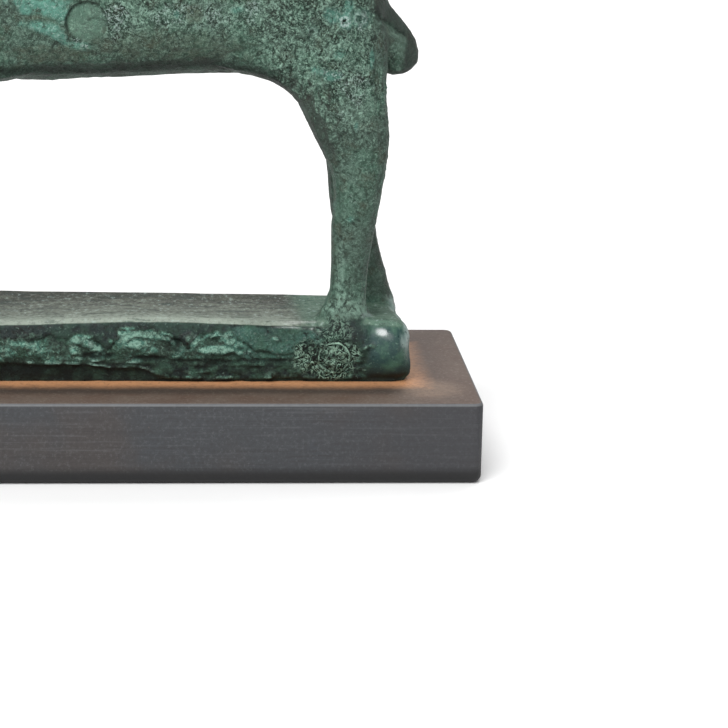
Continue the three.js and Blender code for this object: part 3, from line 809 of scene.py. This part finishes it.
def steel_finish(tone):
    """Dark scaled sides with drawn lines; a rusted top, orange along the foot of the bronze as painted
    reflection, and painted shade along the sides' foot.
    """
    f = Finish("rusted_steel")
    slate, drawn, soot = linear(60, 68, 76), linear(48, 46, 46), linear(52, 50, 50)
    bare, shade, foot_shade = linear(126, 112, 100), linear(52, 51, 54), linear(26, 26, 27)
    tan, umber, blotch = linear(96, 81, 70), linear(72, 50, 38), linear(84, 58, 46)
    grit, ash = linear(62, 52, 46), linear(142, 128, 116)
    place = f.node("ShaderNodeSeparateXYZ", vector=f.place)
    facing = f.node("ShaderNodeSeparateXYZ", vector=f.node("ShaderNodeNewGeometry")["Normal"])
    on_top = f.steps(facing["Z"], 0.75, 0.97)
    arris = f.steps(abs(facing["Z"] - 0.6), 0.42, 0.2)
    broad = f.noise(24, 3)
    cloud = f.noise(8, 4, 0.6)
    dapple = f.noise(1.6, 4, 0.65)
    speck = f.noise(0.55, 4, 0.7)
    fleck = f.noise(0.75, 2, 0.6)
    lines = f.noise(0.7, 3, 0.7, stretch=(0.03, 0.03, 1.2))

    side = f.blend(f.steps(broad, 0.4, 0.6), tone.warm, tone.steel)
    side = f.blend(f.steps(cloud, 0.55, 0.8) * 0.3, side, slate)
    side = f.blend(f.steps(lines, 0.52, 0.7) * 0.4, side, drawn)
    side = f.blend(f.steps(lines, 0.46, 0.28) * 0.2, side, tone.bright)
    side = f.blend(f.steps(speck, 0.5, 0.68) * 0.4, side, soot)
    side = f.blend(f.steps(fleck, 0.68, 0.78) * 0.2, side, bare)
    side = f.blend(f.steps(speck, 0.47, 0.33) * 0.2, side, tone.bright)
    side = f.blend(f.steps(place["X"], 0.02, 0.075) * 0.6, side, shade)
    # Painted shade: the sides darken to near black towards their foot, where the lower edge rounds under.
    side = f.blend(f.steps(place["Z"], 0.0040, 0.0018), side, foot_shade)

    ragged = (cloud - 0.5) * 0.0024 + (dapple - 0.5) * 0.0016
    out = (abs(place["X"]) - FOOTPRINT.x).over(abs(place["Y"]) - FOOTPRINT.y) + ragged
    beyond = f.steps(place["X"], FOOTPRINT.x - 0.002, FOOTPRINT.x + 0.003)
    top = f.blend(f.steps(cloud, 0.35, 0.65), tone.top, tan)
    top = f.blend(f.steps(out, 0.0105, 0.0070) * 0.85 * (1 - 0.75 * beyond), top, tone.stain)
    aside = place["X"] - RUST_BLOOM.x
    ahead = place["Y"] - RUST_BLOOM.y
    bloom = f.steps(aside * aside + ahead * ahead + ragged * 0.03, 0.00007, 0.0)
    top = f.blend(beyond * 0.4, top, umber)
    top = f.blend(bloom * 0.4, top, tone.bloom)
    # The rust is real; that its full orange shows only in this band, where the bronze hides the top's pale
    # reflection, is painted reflection.
    top = f.blend(f.steps(out, 0.0062, 0.0004) * (1 - 0.3 * beyond), top, tone.rust)
    top = f.blend(f.steps(dapple, 0.5, 0.75) * 0.25, top, blotch)
    top = f.blend(f.steps(speck, 0.5, 0.7) * 0.5, top, grit)
    top = f.blend(f.steps(speck, 0.44, 0.28) * 0.5, top, ash)
    skin = f.blend(on_top, side, top)
    skin = f.blend(arris * (0.5 + 0.6 * dapple), skin, tone.bright)
    f.fill(f.shader, base_color=skin, roughness=0.5 + 0.2 * speck, metallic=0.25 - 0.2 * on_top)
    f.bump(speck * 0.5 + dapple * 0.3 + lines * 0.3, 0.08, 0.7)
    return f.material


def paper_finish(settings):
    """The matt paper of the floor."""
    f = Finish("studio_paper")
    tone = f.node("ShaderNodeTexNoise", vector=f.place, scale=3.0, detail=2.0)["Fac"]
    shade = tuple(0.99 * c for c in settings.floor)
    f.fill(f.shader, base_color=f.blend(tone, tuple(settings.floor), shade), roughness=0.9)
    return f.material


# Sizes and colours that a user would change


def length(name, description, default, high=0.02):
    """A size in metres, given in millimetres."""
    return FloatProperty(
        name=name, description=description, default=default * MM, min=0, max=high, precision=5, unit="LENGTH"
    )


def colour(name, description, value):
    """A colour, given as a display colour from 0 to 255."""
    return FloatVectorProperty(
        name=name, description=description, subtype="COLOR", size=3, min=0, max=1, default=linear(*value)
    )


class StagCasting(PropertyGroup):
    grid: length("Skin grid", "Grid on which the skin is reworked", 0.33)
    melt: IntProperty(
        name="Melt", description="Rounds of smoothing that melt the limbs into the trunk", default=8,
        min=0, max=20,
    )
    crust: length("Crust depth", "Height of the corrosion crumbs", 0.44)
    plug: length("Plug depth", "Step around the plugged hole on the flank", 0.5)
    face: length("Slab relief", "Depth of the slab's rim, lumps and undercut", 0.9)
    triangles: IntProperty(
        name="Triangles", description="Most triangles that the finished casting keeps", default=194000,
        min=20000, max=199000,
    )
    deep: colour("Recess", "Patina in recesses", (12, 19, 15))
    body: colour("Skin", "Main green-grey patina", (63, 83, 72))
    green: colour("Green", "Malachite green breaking through", (66, 98, 82))
    pale: colour("Crumbs", "Dusty tops of the crust", (150, 184, 166))
    lichen: colour("Curls", "Pale curls of the blister", (160, 196, 174))
    teal: colour("Teal", "Blue-green growths", (94, 150, 134))
    chalk: colour("Chalk", "Chalky growths", (182, 204, 198))
    brown: colour("Brown", "Earthy stain", (82, 84, 68))
    glazed: colour("Glazed", "Dark glossy patina of the slab's rim", (25, 38, 37))
    lobe: colour("End", "Blue-green glossy patina of the slab's rear end", (44, 68, 66))
    plug_tone: colour("Plug", "Sage green of the plug", (92, 124, 106))
    # This grey also stands for painted shade and reflection on the figure's edges and underside.
    dust_and_shading: colour("Dust", "Grey dust and handling", (68, 72, 67))
    # Painted light: the lighter near part of the slab's top.
    lit_sage: colour("Sage", "Worn top of the slab", (146, 157, 144))


class PlinthBar(PropertyGroup):
    corner: length("Corner", "Radius of the upright corners", 1.8)
    foot: length("Foot", "Radius along the lower edges", 1.7)
    arris: length("Arris", "Width of the worn upper edges", 0.7)
    steel: colour("Steel", "Blue-grey scale on the sides", (56, 58, 61))
    warm: colour("Warm steel", "Browner stretches of the sides", (62, 58, 57))
    top: colour("Top", "Rust-brown top", (88, 69, 57))
    stain: colour("Stain", "Dark stain around the bronze", (62, 52, 45))
    # Full orange only where the bronze hides the top's reflection: painted reflection.
    rust: colour("Rust", "Fresh orange rust along the bronze", (202, 146, 102))
    bloom: colour("Rust bloom", "Pale patch beyond the bronze's corner", (156, 130, 108))
    bright: colour("Bright edge", "Rubbed edges", (104, 106, 108))


class StudioSet(PropertyGroup):
    floor: colour("Floor", "Floor and backdrop", (252, 252, 252))
    key: FloatProperty(name="Key light", description="Strength of the main light", default=3.2, min=0)
    fill: FloatProperty(name="Front light", description="Strength of the low front light", default=0.4, min=0)
    above: FloatProperty(name="Top light", description="Strength of the light above", default=0.35, min=0)
    behind: FloatProperty(name="Back light", description="Strength of the light behind", default=1.2, min=0)
    sky: FloatProperty(name="Surround", description="Strength of the even surround", default=0.24, min=0)
    lens: FloatProperty(name="Lens", description="Focal length in millimetres", default=153.3, min=20)


# Meshes


def deselect_all():
    """Leaves edit mode and drops the selection."""
    if bpy.context.object and bpy.context.object.mode != "OBJECT":
        bpy.ops.object.mode_set(mode="OBJECT")
    bpy.ops.object.select_all(action="DESELECT")


def make_active(obj):
    """Selects one object alone."""
    deselect_all()
    obj.select_set(True)
    bpy.context.view_layer.objects.active = obj


def apply_modifier(obj, kind, **settings):
    """Adds a modifier with these settings and applies it."""
    make_active(obj)
    modifier = obj.modifiers.new(kind.title(), kind)
    for key, value in settings.items():
        setattr(modifier, key, value)
    bpy.ops.object.modifier_apply(modifier=modifier.name)


def bevel_edges(obj, wanted, width, segments):
    """Rounds, in edit mode, the edges whose two ends satisfy `wanted`."""
    make_active(obj)
    bpy.ops.object.mode_set(mode="EDIT")
    bpy.ops.mesh.select_mode(type="EDGE")
    bpy.ops.mesh.select_all(action="DESELECT")
    bpy.ops.object.mode_set(mode="OBJECT")
    corners = obj.data.vertices
    for edge in obj.data.edges:
        a, b = (corners[i].co for i in edge.vertices)
        edge.select = wanted(a, b)
    bpy.ops.object.mode_set(mode="EDIT")
    bpy.ops.mesh.bevel(offset=width, segments=segments, profile=0.5, affect="EDGES")
    bpy.ops.object.mode_set(mode="OBJECT")


def points_of(mesh):
    """Vertices and their normals, in millimetres."""
    count = len(mesh.vertices)
    co = np.empty(count * 3, np.float32)
    mesh.vertices.foreach_get("co", co)
    no = np.empty(count * 3, np.float32)
    mesh.vertex_normals.foreach_get("vector", no)
    return co.reshape(-1, 3).astype(float) / MM, no.reshape(-1, 3).astype(float)


def store_field(mesh, name, values):
    """Keeps one number for each vertex, for the material to read."""
    attribute = mesh.attributes.new(name, "FLOAT", "POINT")
    attribute.data.foreach_set("value", np.ascontiguousarray(values, np.float32))


def weights(obj, name, values):
    """A vertex group whose weights are `values`, kept to steps of a twentieth."""
    group = obj.vertex_groups.new(name=name)
    levels = np.rint(np.clip(values, 0, 1) * 20).astype(int)
    for step in range(1, 21):
        members = np.flatnonzero(levels == step)
        if len(members):
            group.add(members.tolist(), step / 20, "REPLACE")
    return group.name


def own_copy(node, name):
    """A free copy of a CAD node with its triangles joined up."""
    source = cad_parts[node]
    obj = bpy.data.objects.new(name, source.data.copy())
    bpy.context.scene.collection.objects.link(obj)
    obj.data.materials.clear()
    make_active(obj)
    bpy.ops.object.mode_set(mode="EDIT")
    bpy.ops.mesh.select_all(action="SELECT")
    bpy.ops.mesh.remove_doubles(threshold=0.001 * MM)
    bpy.ops.object.mode_set(mode="OBJECT")
    return obj


class STAG_OT_casting(Operator):
    """Rework the bronze's skin and give it relief and patina"""

    bl_idname = "stag.casting"
    bl_label = "Corroded casting"

    def execute(self, context):
        settings = context.scene.stag_casting
        obj = own_copy(BRONZE_NODE, "bronze_stag")
        obj.data.remesh_voxel_size = settings.grid
        bpy.ops.object.voxel_remesh()

        p, _ = points_of(obj.data)
        soft = ramp(p[:, 2], SLAB_TOP - 0.5, SLAB_TOP + 1.5)
        group = weights(obj, "melt", np.maximum(soft, 0.35))
        # Smoothing and swelling by turns melts the limbs in without thinning them.
        for factor in (0.5, -0.53) * settings.melt:
            apply_modifier(obj, "SMOOTH", iterations=5, factor=factor, vertex_group=group)
        p, _ = points_of(obj.data)
        low = SLAB_TOP - 6 - 3.4 * ramp(p[:, 0], 46, 50)
        hind_end = ramp(p[:, 0], 31, 37) * ramp(p[:, 2], low, low + 2) * ramp(p[:, 2], 34, 31)
        rump = ramp(p[:, 0], 42, 45) * ramp(p[:, 0], 54, 51) * ramp(p[:, 2], 73, 76) * ramp(p[:, 2], 93, 90)
        group = weights(obj, "hind_end", np.maximum(hind_end, rump))
        apply_modifier(obj, "SMOOTH", iterations=90, factor=0.5, vertex_group=group)

        p, n = points_of(obj.data)
        moved, _ = relief(p, n, settings)
        obj.data.vertices.foreach_set("co", (moved * MM).astype(np.float32).ravel())
        obj.data.update()
        faces = 2 * len(obj.data.polygons)
        if faces > settings.triangles:
            seen = (-n[:, 1] > -0.1) & (n[:, 2] > -0.75) & (p[:, 0] > -27)
            apply_modifier(
                obj, "DECIMATE", ratio=settings.triangles / faces, vertex_group=weights(obj, "unseen", ~seen)
            )
        p, n = points_of(obj.data)
        _, fields = relief(p, n, settings)
        for name, values in fields.items():
            store_field(obj.data, name, values)
        obj.vertex_groups.clear()
        obj.data.shade_smooth()
        obj.data.materials.append(bronze_finish(settings))
        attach(obj, "root")
        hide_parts(BRONZE_NODE)
        return {"FINISHED"}


class STAG_OT_plinth(Operator):
    """Model the flat bar with its eased edges, scaled and rusted"""

    bl_idname = "stag.plinth"
    bl_label = "Steel plinth"

    def execute(self, context):
        settings = context.scene.plinth_bar
        deselect_all()
        bpy.ops.mesh.primitive_cube_add(size=1, location=(PLINTH_LOW + PLINTH_HIGH) / 2, scale=PLINTH_SIZE)
        obj = context.object
        obj.name = "steel_plinth"
        bpy.ops.object.transform_apply(location=True, rotation=False, scale=True)
        bevel_edges(obj, lambda a, b: abs(a.z - b.z) > PLINTH_SIZE.z / 2, settings.corner, 6)
        bevel_edges(obj, lambda a, b: max(a.z, b.z) < PLINTH_LOW.z + 1e-6, settings.foot, 6)
        bevel_edges(obj, lambda a, b: min(a.z, b.z) > PLINTH_HIGH.z - 1e-6, settings.arris, 4)
        bpy.ops.object.shade_smooth_by_angle(angle=math.radians(35))
        obj.data.materials.append(steel_finish(settings))
        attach(obj, "root")
        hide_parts(PLINTH_NODE)
        return {"FINISHED"}


class STAG_OT_studio(Operator):
    """Lay the pale floor, hang the soft lights and set up the camera"""

    bl_idname = "stag.studio"
    bl_label = "Studio"

    def execute(self, context):
        settings = context.scene.studio_set
        scene = context.scene
        deselect_all()
        bpy.ops.mesh.primitive_plane_add(size=12, location=(0, 0, 0))
        floor = context.object
        floor.name = "studio_floor"
        floor.data.materials.append(paper_finish(settings))
        soft_light("key", (-0.4, -0.8, 0.85), 50, settings.key)
        soft_light("front", (0.35, -1.0, 0.2), 60, settings.fill)
        soft_light("top", (0.1, 0.2, 1.0), 60, settings.above)
        soft_light("back", (0.1, 1.0, 1.1), 60, settings.behind)

        scene.world = bpy.data.worlds.new("studio_surround")
        scene.world.use_nodes = True
        tree = scene.world.node_tree
        background = tree.nodes["Background"]
        background.inputs["Color"].default_value = (1, 1, 1, 1)
        seen = Wire(tree, tree.nodes.new("ShaderNodeLightPath").outputs["Is Camera Ray"])
        strength = settings.sky + (1 - settings.sky) * seen
        tree.links.new(strength.socket, background.inputs["Strength"])

        camera = bpy.data.cameras.new("camera")
        camera.sensor_width = 36
        camera.lens = settings.lens
        camera.clip_start = 0.01
        camera.clip_end = 50
        stand = bpy.data.objects.new("camera", camera)
        scene.collection.objects.link(stand)
        turned = camera_turn(*(math.radians(angle) for angle in CAMERA_TURN))
        stand.matrix_world = Matrix.Translation(CAMERA_PLACE) @ turned
        scene.camera = stand
        scene.view_settings.view_transform = "Standard"
        scene.view_settings.look = "None"
        return {"FINISHED"}


def soft_light(name, direction, spread, strength):
    """A broad distant light that comes from `direction` over `spread` degrees."""
    light = bpy.data.lights.new(name, "SUN")
    light.angle = math.radians(spread)
    light.energy = strength
    obj = bpy.data.objects.new(name, light)
    obj.location = direction
    obj.rotation_euler = (-Vector(direction)).to_track_quat("-Z", "Y").to_euler()
    bpy.context.scene.collection.objects.link(obj)


def camera_turn(yaw, pitch, roll):
    """The camera's turn: `yaw` to the right of +Y, `pitch` downwards, then `roll`."""
    forward = Vector((math.sin(yaw) * math.cos(pitch), math.cos(yaw) * math.cos(pitch), -math.sin(pitch)))
    flat = Vector((math.cos(yaw), -math.sin(yaw), 0))
    upright = flat.cross(forward)
    right = math.cos(roll) * flat + math.sin(roll) * upright
    up = math.cos(roll) * upright - math.sin(roll) * flat
    return Matrix((right, up, -forward)).transposed().to_4x4()


class STAG_PT_panel(Panel):
    """Sizes and colours of the stag, its plinth and the studio"""

    bl_idname = "STAG_PT_panel"
    bl_label = "Stag"
    bl_space_type = "VIEW_3D"
    bl_region_type = "UI"
    bl_category = "Stag"

    def draw(self, context):
        for operator, group in (
            (STAG_OT_casting, context.scene.stag_casting),
            (STAG_OT_plinth, context.scene.plinth_bar),
            (STAG_OT_studio, context.scene.studio_set),
        ):
            box = self.layout.box()
            for name in group.__annotations__:
                box.prop(group, name)
            box.operator(operator.bl_idname)


GROUPS = {"stag_casting": StagCasting, "plinth_bar": PlinthBar, "studio_set": StudioSet}
CLASSES = (*GROUPS.values(), STAG_OT_casting, STAG_OT_plinth, STAG_OT_studio, STAG_PT_panel)


def register():
    for kind in CLASSES:
        bpy.utils.register_class(kind)
    for name, kind in GROUPS.items():
        setattr(bpy.types.Scene, name, PointerProperty(type=kind))


def unregister():
    for name in GROUPS:
        delattr(bpy.types.Scene, name)
    for kind in reversed(CLASSES):
        bpy.utils.unregister_class(kind)


def main():
    register()
    bpy.ops.stag.studio()
    bpy.ops.stag.plinth()
    bpy.ops.stag.casting()


if __name__ == "__main__":
    main()
